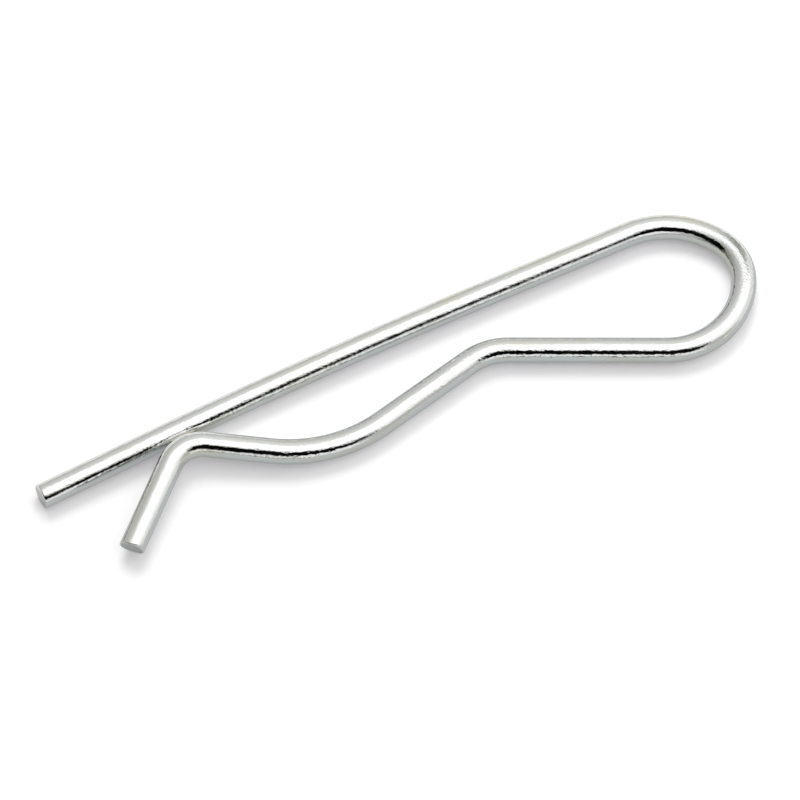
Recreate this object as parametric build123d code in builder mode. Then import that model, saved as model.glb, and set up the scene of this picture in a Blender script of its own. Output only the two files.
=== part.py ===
from build123d import *
import os

# Wire and long leg, in millimetres and degrees
wire_diameter = 3.2
leg_end_length = 13.0        # straight end that goes through a shaft's cross hole
bow_radius = 820.0           # the leg is bowed a little along its middle
bow_turn = 3.5
leg_length = 19.0            # straight again, from the bow to the loop

# Loop, tightest at its crown
loop_entry_radius = 12.0
loop_entry_turn = 60.0
loop_crown_radius = 6.4
loop_crown_turn = 54.5
loop_exit_radius = 10.0
loop_exit_turn = 90.5

# Sprung arm, from the loop to the flared free end
return_length = 19.8         # runs back towards the leg
shoulder_radius = 8.0
shoulder_turn = 38.0
slope_length = 13.7          # runs out to the hump, which seats round the shaft
hump_radius = 20.0
hump_turn = 42.5
elbow_radius = 4.4
elbow_turn = 72.5
elbow_gap = 0.1              # the elbow all but touches the leg
free_end_length = 12.0       # guides the clip onto a shaft
tail_twist = 5.5             # beyond the slope the wire is twisted, so the elbow rides up the leg

# Sheared ends
leg_end_lean = 3.0           # this cut leans back, so the wire is a little shorter on top
free_end_skew = 6.0          # this cut is skewed, so the side away from the leg is shorter
rim_radius = 0.15            # rounded rim of each cut

wire_radius = wire_diameter / 2
spare_length = wire_radius   # extra wire at each end, for the cuts to take off

os.makedirs("parts", exist_ok=True)

# The centreline of what lies flat: the leg starts at the origin and runs along +X
with BuildLine(Plane.XY.offset(wire_radius)) as flat_line:
    leg_end = Line((-spare_length, 0), (leg_end_length, 0))
    bow = JernArc(leg_end @ 1, leg_end % 1, bow_radius, -bow_turn)
    leg = PolarLine(bow @ 1, leg_length, direction=bow % 1)
    loop_entry = JernArc(leg @ 1, leg % 1, loop_entry_radius, -loop_entry_turn)
    loop_crown = JernArc(loop_entry @ 1, loop_entry % 1, loop_crown_radius, -loop_crown_turn)
    loop_exit = JernArc(loop_crown @ 1, loop_crown % 1, loop_exit_radius, -loop_exit_turn)
    return_run = PolarLine(loop_exit @ 1, return_length, direction=loop_exit % 1)
    shoulder = JernArc(return_run @ 1, return_run % 1, shoulder_radius, shoulder_turn)
    slope = PolarLine(shoulder @ 1, slope_length, direction=shoulder % 1)

# The tail's plane turns about the slope, which lifts its side next to the leg
slope_axis = Axis(slope @ 1, slope % 1)
tail_plane = Plane(slope @ 1, x_dir=slope % 1, z_dir=Vector(0, 0, 1).rotate(slope_axis, -tail_twist))


def draw_tail(rise_length):
    """The centreline beyond the slope, and its elbow, with the rise at this length."""
    with BuildLine(tail_plane) as line:
        hump = JernArc(slope @ 1, slope % 1, hump_radius, -hump_turn)
        rise = PolarLine(hump @ 1, rise_length, direction=hump % 1)
        elbow = JernArc(rise @ 1, rise % 1, elbow_radius, elbow_turn)
        PolarLine(elbow @ 1, free_end_length + spare_length, direction=elbow % 1)
    return line, elbow


# The rise starts short, and is lengthened until the elbow stands elbow_gap off the leg
rise_length = wire_radius
for step in range(8):
    tail_line, elbow = draw_tail(rise_length)
    gap = min(elbow.distance_to(piece) for piece in (leg_end, bow, leg)) - wire_diameter
    rise_length += (gap - elbow_gap) / abs((elbow % 0).Y)
tail_line, elbow = draw_tail(rise_length)

# One round wire follows the whole line, is sheared at both ends, and has its two rims rounded
with BuildLine() as centreline:
    add(flat_line.line)
    add(tail_line.line)
path = centreline.wire()
free_heading = path % 1
leg_cut = Plane((0, 0, wire_radius), z_dir=(path % 0).rotate(Axis.Y, leg_end_lean))
free_cut = Plane(path @ 1 - free_heading * spare_length, z_dir=free_heading.rotate(Axis.Z, free_end_skew))

with BuildPart() as r_clip:
    with BuildSketch(Plane(path @ 0, z_dir=path % 0)):
        Circle(wire_radius)
    sweep(path=path)
    split(bisect_by=leg_cut, keep=Keep.TOP)
    split(bisect_by=free_cut, keep=Keep.BOTTOM)
    fillet(r_clip.faces().filter_by(GeomType.PLANE).edges(), rim_radius)

# The origin is under the middle of the clip, on the surface that it lies on
middle = r_clip.part.bounding_box().center()
r_clip.part = r_clip.part.moved(Location((-middle.X, -middle.Y, 0)))
r_clip.part.label = "r_clip"
export_step(r_clip.part, "parts/r_clip.step")
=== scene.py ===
import math
from collections import namedtuple

import bpy
import numpy as np
from mathutils import Matrix, Vector, noise


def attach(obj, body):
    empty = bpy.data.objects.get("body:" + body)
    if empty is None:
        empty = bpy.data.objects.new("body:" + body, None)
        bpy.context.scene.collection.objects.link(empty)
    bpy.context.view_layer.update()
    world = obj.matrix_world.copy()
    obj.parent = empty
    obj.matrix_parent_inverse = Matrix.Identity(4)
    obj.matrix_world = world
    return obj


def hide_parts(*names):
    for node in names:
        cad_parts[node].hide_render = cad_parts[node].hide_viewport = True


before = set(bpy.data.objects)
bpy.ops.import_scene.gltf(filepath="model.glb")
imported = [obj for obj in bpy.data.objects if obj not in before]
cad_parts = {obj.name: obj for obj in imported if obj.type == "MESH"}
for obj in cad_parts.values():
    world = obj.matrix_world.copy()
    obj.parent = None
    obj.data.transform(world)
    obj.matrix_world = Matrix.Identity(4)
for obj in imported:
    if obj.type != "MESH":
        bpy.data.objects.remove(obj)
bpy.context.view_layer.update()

# Sizes of the clip, in metres and radians, as the CAD source gives them
wire_radius = 0.0016
leg_start = Vector((-0.047122, 0.010239, 0))     # under the middle of the leg's cut end
leg_end_length = 0.013
bow_radius, bow_turn = 0.82, math.radians(3.5)
leg_length = 0.019
loop_entry_radius, loop_entry_turn = 0.012, math.radians(60)
loop_crown_radius, loop_crown_turn = 0.0064, math.radians(54.5)
loop_exit_radius, loop_exit_turn = 0.010, math.radians(90.5)
return_length = 0.0198
shoulder_radius, shoulder_turn = 0.008, math.radians(38)
slope_length = 0.0137
hump_radius, hump_turn = 0.020, math.radians(42.5)
rise_length = 0.0082537      # closes the elbow on the leg
elbow_radius, elbow_turn = 0.0044, math.radians(72.5)
free_end_length = 0.012
tail_twist = math.radians(5.5)
rim_radius = 0.00015

# What the shears leave: each cut leans back or is skewed, its rim is rolled over most at one angle, and the
# free end has a burr and is drawn out along its top. Angles run round the wire from its upper side, towards
# the camera's side at the leg and towards the leg's side at the free end.
Shear = namedtuple("Shear", "lean skew roll_angle burr_angle burr_height top_reach")
leg_shear = Shear(
    lean=math.radians(3), skew=0.0,
    roll_angle=math.radians(-20), burr_angle=0.0, burr_height=0.0, top_reach=0.0,
)
free_shear = Shear(
    lean=0.0, skew=math.radians(6),
    roll_angle=math.radians(-45), burr_angle=math.radians(-105), burr_height=0.00018, top_reach=0.00024,
)
roll_radius = 0.00012        # added to the rim where it is rolled over most
roll_width, burr_width = 0.6, 0.7                # radians to each side, where they have faded by two thirds
burr_fade = 8                # a burr falls away inside its rim as this power of the radius
face_relief = 0.00002
relief_waves = 2.5           # about as many lie between a cut's middle and its rim

# The fineness of the wire's mesh
points_round = 72
ring_step = 0.00027
rim_steps = 5
face_rings = 9
round_angles = [2 * math.pi * k / points_round for k in range(points_round)]

# The finish: each kind of mark has a size along the wire and one across it
wear_size = (0.012, 0.004)
ripple_size = (0.0014, 0.0005)
grain_size = (0.00028, 0.00022)
draw_line_size = (0.009, 0.0001)
haze_size = (0.004, 0.0009)
tint_size = (0.011, 0.0022)
shear_mark_size = (0.001, 0.00016)
wear_span = (0.35, 0.65)     # the values of its noise between which it goes from least to most
haze_span = (0.3, 0.75)
tint_span = (0.48, 0.72)
wear = (0.5, 1.2)            # how much grain is left, least and most
grain_share, draw_line_share = 0.9, 0.1          # of the height of the ripples
bump_depth = 0.00002
plate_roughness = (0.07, 0.13)                   # where it is clear and where it is hazy
cut_roughness = 0.45
plate_colour, warm_colour = (0.79, 0.80, 0.80), (0.77, 0.76, 0.70)
cut_dark_colour, cut_pale_colour = (0.54, 0.54, 0.55), (0.74, 0.74, 0.75)

# Where the photograph was taken from: the clip lies turned in the picture
picture_turn = math.radians(28.4366)
camera_elevation = math.radians(64)
camera_distance = 0.8
camera_lens = 286.87         # millimetres, on a sensor 36 mm wide
camera_target = Vector((-0.001098, 0.001458, 0))
picture_right = Vector((math.cos(picture_turn), -math.sin(picture_turn), 0))
towards_camera = Vector((-math.sin(picture_turn), -math.cos(picture_turn), 0))
upwards = Vector((0, 0, 1))

# The light tent and what hangs in it, each panel in front of those above it. Sizes are degrees as the clip
# sees them: a panel's centre lies that far from overhead, to the picture's right and to its far side. soft is
# the share of each half size over which the panel's edges fade.
tent_radius = 1.2
tent_rings, tent_sides = 30, 60
cloth_shade = (0.54, 0.54, 0.52)
panels = {
    "left_wall": dict(
        centre=(-104, -49), half=(61, 55), turn=-36, soft=(0.35, 0.84), shade=(0.09, 0.09, 0.075)),
    "right_wall": dict(
        centre=(91, 8), half=(9.5, 31), turn=-40, soft=(0.68, 0.42), shade=(0.72, 0.72, 0.69)),
    "glow": dict(
        centre=(38, 24.5), half=(51, 35), turn=-10.5, soft=(0.94, 0.89), shade=(1.03, 1.03, 1.0)),
    "softbox": dict(
        centre=(21, 2), half=(33, 26), turn=1, soft=(0.57, 0.3), shade=(1.45, 1.45, 1.45)),
    "softbox_end": dict(
        centre=(51, -14.6), half=(9.5, 20), turn=-42.5, soft=(0.95, 0.2), shade=(1.13, 1.13, 1.10)),
    "dark_wedge": dict(
        centre=(39.5, 61), half=(31, 11.3), turn=54.7, soft=(0.09, 0.95), shade=(0.37, 0.38, 0.34)),
    "black_flag": dict(
        centre=(-14, -44.7), half=(56, 18), turn=-10.6, soft=(0.084, 0.107), shade=(0.001, 0.001, 0.001)),
    "white_strip": dict(
        centre=(24, -72), half=(32, 8.5), turn=12, soft=(0.2, 0.45), shade=(0.96, 0.965, 0.965)),
    "dark_hem": dict(
        centre=(-8, -88), half=(24, 4), turn=0, soft=(0.4, 0.3), shade=(0.1, 0.1, 0.1)),
}

# The rest of the studio
lamp_distance, lamp_elevation, lamp_power = 0.8, math.radians(52), 3.2
lamp_bearing = math.radians(8)                   # left of the picture's far side
lamp_width, lamp_depth = 0.5, 0.34
floor_half = 1.15
floor_colour = (0.83, 0.84, 0.83)
floor_lift = (0.21, 0.195, 0.215)                # added for the camera, so that the lit floor is plain white
shadow_reach = (0.075, 0.16)                     # between these distances the floor turns plain white
# The card under the clip is seen only in the metal: its grey and its glow paint the floor's shade into the
# wire's reflection.
card_depth, card_overhang, card_height = 0.2, 0.04, 0.0001
card_colour, card_glow = (0.26, 0.27, 0.27), (0.29, 0.30, 0.30)


# Small helpers for node trees and meshes
class Nodes:
    """A node tree that is written as nested calls: each call makes a node and returns one of its outputs."""

    def __init__(self, tree):
        self.tree = tree
        tree.nodes.clear()

    def make(self, kind, inputs=(), output=0, **settings):
        node = self.tree.nodes.new(kind)
        for name, value in settings.items():
            setattr(node, name, value)
        for name, value in dict(inputs).items():
            if isinstance(value, bpy.types.NodeSocket):
                self.tree.links.new(value, node.inputs[name])
            else:
                node.inputs[name].default_value = value
        return node.outputs[output]

    def calculate(self, operation, first, second=0.0, third=0.0):
        return self.make("ShaderNodeMath", {0: first, 1: second, 2: third}, operation=operation)

    def ramp(self, value, low, high, low_out=0.0, high_out=1.0):
        """value between low and high, smoothly spread over low_out and high_out."""
        inputs = {"Value": value, "From Min": low, "From Max": high, "To Min": low_out, "To Max": high_out}
        return self.make("ShaderNodeMapRange", inputs, interpolation_type="SMOOTHSTEP")

    def marks(self, place, along, across, detail=1.0, roughness=0.5):
        """Noise on the wire, in marks that are this long along it and this wide across it."""
        scale = (1 / along, 1 / across, 1 / across)
        spot = self.make("ShaderNodeVectorMath", {0: place, 1: scale}, operation="MULTIPLY")
        inputs = {"Vector": spot, "Scale": 1.0, "Detail": detail, "Roughness": roughness}
        return self.make("ShaderNodeTexNoise", inputs)

    def mix_colour(self, share, first, second):
        """The node's colour sockets go by number, because others have the same names."""
        return self.make("ShaderNodeMix", {0: share, 6: first, 7: second}, output=2, data_type="RGBA")

    def ray_is(self, *kinds):
        """1 for a ray of one of these kinds, and 0 for others."""
        path = self.tree.nodes.new("ShaderNodeLightPath")
        total = path.outputs[kinds[0]]
        for kind in kinds[1:]:
            total = self.calculate("MAXIMUM", total, path.outputs[kind])
        return total

    def finish(self, shader, output="ShaderNodeOutputMaterial"):
        self.tree.links.new(shader, self.tree.nodes.new(output).inputs["Surface"])


def new_material(name):
    material = bpy.data.materials.new(name)
    material.use_nodes = True
    return material, Nodes(material.node_tree)


def new_object(name, points, faces):
    mesh = bpy.data.meshes.new(name)
    mesh.from_pydata([tuple(p) for p in points], [], faces)
    mesh.validate()
    made = bpy.data.objects.new(name, mesh)
    bpy.context.scene.collection.objects.link(made)
    return made


def keep_at_points(mesh, name, vectors):
    """Keeps a vector at each point of the mesh, for its material to read."""
    kept = mesh.attributes.new(name, "FLOAT_VECTOR", "POINT")
    kept.data.foreach_set("vector", np.array(vectors, np.float32).ravel())


# The wire's line
Station = namedtuple("Station", "walked place heading upper")


class Walk:
    """A walk along the wire's line from the leg's cut end, with a station left at every step."""

    def __init__(self):
        self.walked = 0.0
        self.place = leg_start + upwards * wire_radius
        self.heading = Vector((1, 0, 0))
        self.upper = upwards.copy()
        self.bend_axis = upwards.copy()
        self.stations = []
        self.leave_station()

    def leave_station(self):
        station = Station(self.walked, self.place.copy(), self.heading.copy(), self.upper.copy())
        self.stations.append(station)

    def straight(self, length):
        steps = math.ceil(length / ring_step)
        for _ in range(steps):
            self.walked += length / steps
            self.place += self.heading * (length / steps)
            self.leave_station()

    def bend(self, radius, turn):
        """An arc, to the left where the turn is above 0 and to the right where it is below."""
        length = radius * abs(turn)
        steps = math.ceil(length / ring_step)
        swing = Matrix.Rotation(turn / steps, 3, self.bend_axis)
        left = self.bend_axis.cross(self.heading)
        centre = self.place + left * math.copysign(radius, turn)
        for _ in range(steps):
            self.walked += length / steps
            self.place = centre + swing @ (self.place - centre)
            self.heading = swing @ self.heading
            self.upper = swing @ self.upper
            self.leave_station()

    def twist(self, turn):
        """Turns the plane in which the wire is bent from here on."""
        self.bend_axis = Matrix.Rotation(turn, 3, self.heading) @ self.bend_axis


def follow_wire():
    """Stations along the wire: the distance walked, the place, and the wire's heading and upper side."""
    walk = Walk()
    walk.straight(leg_end_length)
    walk.bend(bow_radius, -bow_turn)
    walk.straight(leg_length)
    walk.bend(loop_entry_radius, -loop_entry_turn)
    walk.bend(loop_crown_radius, -loop_crown_turn)
    walk.bend(loop_exit_radius, -loop_exit_turn)
    walk.straight(return_length)
    walk.bend(shoulder_radius, shoulder_turn)
    walk.straight(slope_length)
    walk.twist(-tail_twist)
    walk.bend(hump_radius, -hump_turn)
    walk.straight(rise_length)
    walk.bend(elbow_radius, elbow_turn)
    walk.straight(free_end_length)
    return walk.stations


# The wire's mesh: each ring is a list of points, as (shift along the wire, rise, side) at a station
def wall_ring():
    """A ring of the wire's round wall."""
    return [(0.0, wire_radius * math.cos(angle), wire_radius * math.sin(angle)) for angle in round_angles]


def swell(angle, middle, width):
    """1 at the middle angle, fading away on both sides of it."""
    apart = math.remainder(angle - middle, 2 * math.pi)
    return math.exp(-(apart / width) ** 2)


def cut_profile(shear, angle):
    """A cut at one angle round the wire, from its wall to near its middle: (length short of it, radius)."""
    rim = rim_radius + roll_radius * swell(angle, shear.roll_angle, roll_width)
    burr = shear.burr_height * swell(angle, shear.burr_angle, burr_width)
    profile = []
    for k in range(rim_steps + 1):
        turn = math.pi / 2 * k / rim_steps
        short = rim * (1 - math.sin(turn)) - burr * math.sin(turn)
        profile.append((short, wire_radius - rim * (1 - math.cos(turn))))
    for k in range(1, face_rings):
        share = 1 - k / face_rings
        spot = Vector((math.cos(angle), math.sin(angle), shear.burr_angle)) * share * relief_waves
        short = face_relief * noise.noise(spot) - burr * share ** burr_fade
        profile.append((short, (wire_radius - rim) * share))
    return profile


def cut_point(shear, inwards, short, radius, angle):
    """A point of a cut, which leans or is skewed. inwards is 1 or -1, the way into the wire."""
    rise = radius * math.cos(angle)
    side = radius * math.sin(angle)
    reach = shear.top_reach * (1 + rise / wire_radius) / 2
    tilt = rise * math.tan(shear.lean) + side * math.tan(shear.skew)
    return inwards * (short - reach) + tilt, rise, side


def cut_rings(shear, inwards):
    """The rings of a cut, from its wall to near its middle."""
    columns = []
    for angle in round_angles:
        profile = cut_profile(shear, angle)
        columns.append([cut_point(shear, inwards, short, radius, angle) for short, radius in profile])
    return list(zip(*columns))


def cut_hub(shear, inwards):
    """The one point in a cut's middle."""
    return [cut_point(shear, inwards, 0.0, 0.0, 0.0)]


def wire_faces(ring_count):
    """The faces between the rings and round the two hubs, and for each face whether it lies on a cut."""
    faces = []
    on_cut = []
    for ring in range(ring_count - 1):
        low = ring * points_round
        high = low + points_round
        strips_from_end = min(ring, ring_count - 2 - ring)
        for k in range(points_round):
            after = (k + 1) % points_round
            faces.append((low + k, low + after, high + after, high + k))
            on_cut.append(strips_from_end < face_rings - 1)
    last = (ring_count - 1) * points_round
    leg_hub = ring_count * points_round
    free_hub = leg_hub + 1
    for k in range(points_round):
        after = (k + 1) % points_round
        faces.append((leg_hub, after, k))
        faces.append((free_hub, last + k, last + after))
        on_cut += [True, True]
    return faces, on_cut


def make_wire(stations):
    """The wire as one closed mesh, with its place on the straightened wire kept at each point."""
    start, end = stations[0], stations[-1]
    clear_of_cut = wire_radius * math.tan(free_shear.skew) + rim_radius + roll_radius + ring_step
    walled = [s for s in stations if clear_of_cut < s.walked < end.walked - clear_of_cut]
    wall = wall_ring()
    rings = [(start, ring) for ring in reversed(cut_rings(leg_shear, 1))]
    rings += [(station, wall) for station in walled]
    rings += [(end, ring) for ring in cut_rings(free_shear, -1)]
    hubs = [(start, cut_hub(leg_shear, 1)), (end, cut_hub(free_shear, -1))]

    points = []
    places = []
    for station, ring in rings + hubs:
        flank = station.heading.cross(station.upper)
        for shift, rise, side in ring:
            points.append(station.place + station.heading * shift + station.upper * rise + flank * side)
            places.append((station.walked + shift, rise, side))

    faces, on_cut = wire_faces(len(rings))
    wire = new_object("bent_wire", points, faces)
    wire.data.shade_smooth()
    keep_at_points(wire.data, "wire_place", places)
    wire.data.materials.append(zinc_material())
    wire.data.materials.append(cut_material())
    wire.data.polygons.foreach_set("material_index", np.array(on_cut, np.int32))
    return wire


# Finishes
def zinc_material():
    """Bright zinc plate on drawn wire: fine lengthwise marks, slight ripples and a warm tint in places."""
    material, nodes = new_material("bright_zinc_plate")
    place = nodes.make("ShaderNodeAttribute", attribute_name="wire_place", output="Vector")
    worn = nodes.ramp(nodes.marks(place, *wear_size), *wear_span, *wear)
    grain = nodes.calculate("MULTIPLY", nodes.marks(place, *grain_size, detail=0.0), worn)
    height = nodes.calculate("MULTIPLY_ADD", grain, grain_share, nodes.marks(place, *ripple_size))
    height = nodes.calculate("MULTIPLY_ADD", nodes.marks(place, *draw_line_size), draw_line_share, height)
    bump = nodes.make("ShaderNodeBump", {"Height": height, "Strength": 1.0, "Distance": bump_depth})
    roughness = nodes.ramp(nodes.marks(place, *haze_size, detail=3.0), *haze_span, *plate_roughness)
    tint = nodes.ramp(nodes.marks(place, *tint_size, detail=3.0), *tint_span)
    colour = nodes.mix_colour(tint, (*plate_colour, 1), (*warm_colour, 1))
    shader = nodes.make("ShaderNodeBsdfPrincipled", {
        "Base Color": colour, "Metallic": 1.0, "Roughness": roughness, "Normal": bump,
    })
    nodes.finish(shader)
    return material


def cut_material():
    """Sheared steel: dull grey, with short marks down the cut."""
    material, nodes = new_material("sheared_steel")
    place = nodes.make("ShaderNodeAttribute", attribute_name="wire_place", output="Vector")
    marks = nodes.marks(place, *shear_mark_size, detail=4.0, roughness=0.65)
    bump = nodes.make("ShaderNodeBump", {"Height": marks, "Strength": 1.0, "Distance": bump_depth})
    colour = nodes.mix_colour(marks, (*cut_dark_colour, 1), (*cut_pale_colour, 1))
    shader = nodes.make("ShaderNodeBsdfPrincipled", {
        "Base Color": colour, "Metallic": 1.0, "Roughness": cut_roughness, "Normal": bump,
    })
    nodes.finish(shader)
    return material


# Studio
def hang_panel(nodes, bearing, light, centre, half, turn, soft, shade):
    """The tent's light with one more panel in it."""
    spot = nodes.make("ShaderNodeMapping", {
        "Vector": bearing,
        "Location": (*centre, 0),
        "Rotation": (0, 0, math.radians(turn)),
        "Scale": (*half, 1),
    }, vector_type="TEXTURE")
    spread = nodes.make("ShaderNodeVectorMath", {0: spot}, operation="ABSOLUTE")
    across = nodes.make("ShaderNodeSeparateXYZ", {"Vector": spread}, output="X")
    deep = nodes.make("ShaderNodeSeparateXYZ", {"Vector": spread}, output="Y")
    cover_across = nodes.ramp(across, 1 - soft[0], 1 + soft[0], 1.0, 0.0)
    cover_deep = nodes.ramp(deep, 1 - soft[1], 1 + soft[1], 1.0, 0.0)
    cover = nodes.calculate("MULTIPLY", cover_across, cover_deep)
    return nodes.mix_colour(cover, light, (*shade, 1))


def tent_material():
    """What the metal reflects: pale cloth, and the panels that hang before it."""
    material, nodes = new_material("light_tent")
    bearing = nodes.make("ShaderNodeAttribute", attribute_name="bearing", output="Vector")
    light = (*cloth_shade, 1)
    for panel in panels.values():
        light = hang_panel(nodes, bearing, light, **panel)
    nodes.finish(nodes.make("ShaderNodeEmission", {"Color": light, "Strength": 1.0}))
    return material


def add_tent():
    """A half sphere of cloth round the clip, unseen by the camera, with a bearing kept at each point."""
    points = []
    bearings = []
    faces = []
    for ring in range(tent_rings + 1):
        slope = math.pi / 2 * ring / tent_rings
        overhead = math.degrees(slope)
        for side in range(tent_sides):
            around = 2 * math.pi * side / tent_sides
            flat = picture_right * math.cos(around) - towards_camera * math.sin(around)
            points.append((flat * math.sin(slope) + upwards * math.cos(slope)) * tent_radius)
            bearings.append((overhead * math.cos(around), overhead * math.sin(around), overhead))
    for ring in range(tent_rings):
        low = ring * tent_sides
        high = low + tent_sides
        for side in range(tent_sides):
            after = (side + 1) % tent_sides
            faces.append((low + side, low + after, high + after, high + side))
    tent = new_object("light_tent", points, faces)
    keep_at_points(tent.data, "bearing", bearings)
    tent.data.materials.append(tent_material())
    tent.visible_camera = False


def add_back_lamp():
    """A soft lamp from the far side, which draws the shadow towards the camera and leaves no highlight."""
    lamp = bpy.data.lights.new("back_lamp", "AREA")
    lamp.shape = "RECTANGLE"
    lamp.size = lamp_width
    lamp.size_y = lamp_depth
    lamp.energy = lamp_power
    holder = bpy.data.objects.new("back_lamp", lamp)
    bpy.context.scene.collection.objects.link(holder)
    along_floor = -towards_camera * math.cos(lamp_bearing) - picture_right * math.sin(lamp_bearing)
    outwards = along_floor * math.cos(lamp_elevation) + upwards * math.sin(lamp_elevation)
    holder.location = outwards * lamp_distance
    holder.rotation_euler = outwards.to_track_quat("Z", "Y").to_euler()
    holder.visible_camera = False
    holder.visible_glossy = False


def add_floor():
    """A white floor that keeps the clip's shadow, and glows plain white further out."""
    corners = [(x * floor_half, y * floor_half, 0) for x, y in ((-1, -1), (1, -1), (1, 1), (-1, 1))]
    floor = new_object("studio_floor", corners, [(0, 1, 2, 3)])
    material, nodes = new_material("white_floor")
    seen = nodes.ray_is("Is Camera Ray", "Is Transmission Ray")
    seen_or_reflected = nodes.ray_is("Is Camera Ray", "Is Glossy Ray", "Is Transmission Ray")
    matt = nodes.make("ShaderNodeBsdfDiffuse", {"Color": (*floor_colour, 1)})
    lift = nodes.make("ShaderNodeEmission", {"Color": (*floor_lift, 1), "Strength": seen})
    white = nodes.make("ShaderNodeEmission", {"Color": (1, 1, 1, 1), "Strength": seen_or_reflected})
    near = nodes.make("ShaderNodeAddShader", {0: matt, 1: lift})
    spot = nodes.make("ShaderNodeTexCoord", output="Object")
    distance = nodes.make("ShaderNodeVectorMath", {0: spot}, output="Value", operation="LENGTH")
    further_out = nodes.ramp(distance, *shadow_reach)
    nodes.finish(nodes.make("ShaderNodeMixShader", {0: further_out, 1: near, 2: white}))
    floor.data.materials.append(material)


def card_back_edge(stations):
    """The line under the leg and the loop as far as its far point, and on past both ends."""
    line = [Vector((station.place.x, station.place.y, card_height)) for station in stations]
    far = min(range(len(line)), key=lambda k: line[k].dot(towards_camera))
    left_end = line[0] - Vector((card_overhang, 0, 0))
    right_end = line[far] + picture_right * card_overhang
    return [left_end, *line[:far + 1], right_end]


def add_card(stations):
    """A grey card from under the leg and the loop towards the camera, which only the metal sees: its grey and
    its glow are a painted reflection of the floor's shade in the wire's lower side.
    """
    points = []
    for edge in card_back_edge(stations):
        points += [edge, edge + towards_camera * card_depth]
    faces = [(k, k + 1, k + 3, k + 2) for k in range(0, len(points) - 2, 2)]
    card = new_object("painted_floor_shade_card", points, faces)
    material, nodes = new_material("painted_floor_shade_card")
    matt = nodes.make("ShaderNodeBsdfDiffuse", {"Color": (*card_colour, 1)})
    # The glow is painted light, so that the reflected floor stays grey where the wire shades the card.
    glow = nodes.make("ShaderNodeEmission", {"Color": (*card_glow, 1), "Strength": 1.0})
    nodes.finish(nodes.make("ShaderNodeAddShader", {0: matt, 1: glow}))
    card.data.materials.append(material)
    card.visible_camera = False
    card.visible_diffuse = False
    card.visible_transmission = False
    card.visible_shadow = False


def add_world():
    """White behind the floor's edge."""
    world = bpy.data.worlds.new("studio")
    bpy.context.scene.world = world
    world.use_nodes = True
    nodes = Nodes(world.node_tree)
    seen_or_reflected = nodes.ray_is("Is Camera Ray", "Is Glossy Ray", "Is Transmission Ray")
    shader = nodes.make("ShaderNodeBackground", {"Color": (1, 1, 1, 1), "Strength": seen_or_reflected})
    nodes.finish(shader, "ShaderNodeOutputWorld")


def add_camera():
    camera = bpy.data.objects.new("camera", bpy.data.cameras.new("camera"))
    bpy.context.scene.collection.objects.link(camera)
    camera.data.lens = camera_lens
    backwards = towards_camera * math.cos(camera_elevation) + upwards * math.sin(camera_elevation)
    camera.location = camera_target + backwards * camera_distance
    camera.rotation_euler = backwards.to_track_quat("Z", "Y").to_euler()
    bpy.context.scene.camera = camera


add_camera()
stations = follow_wire()
wire = make_wire(stations)
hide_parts("r_clip")
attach(wire, "root")

add_floor()
add_card(stations)
add_world()
add_tent()
add_back_lamp()
bpy.context.scene.view_settings.view_transform = "Standard"
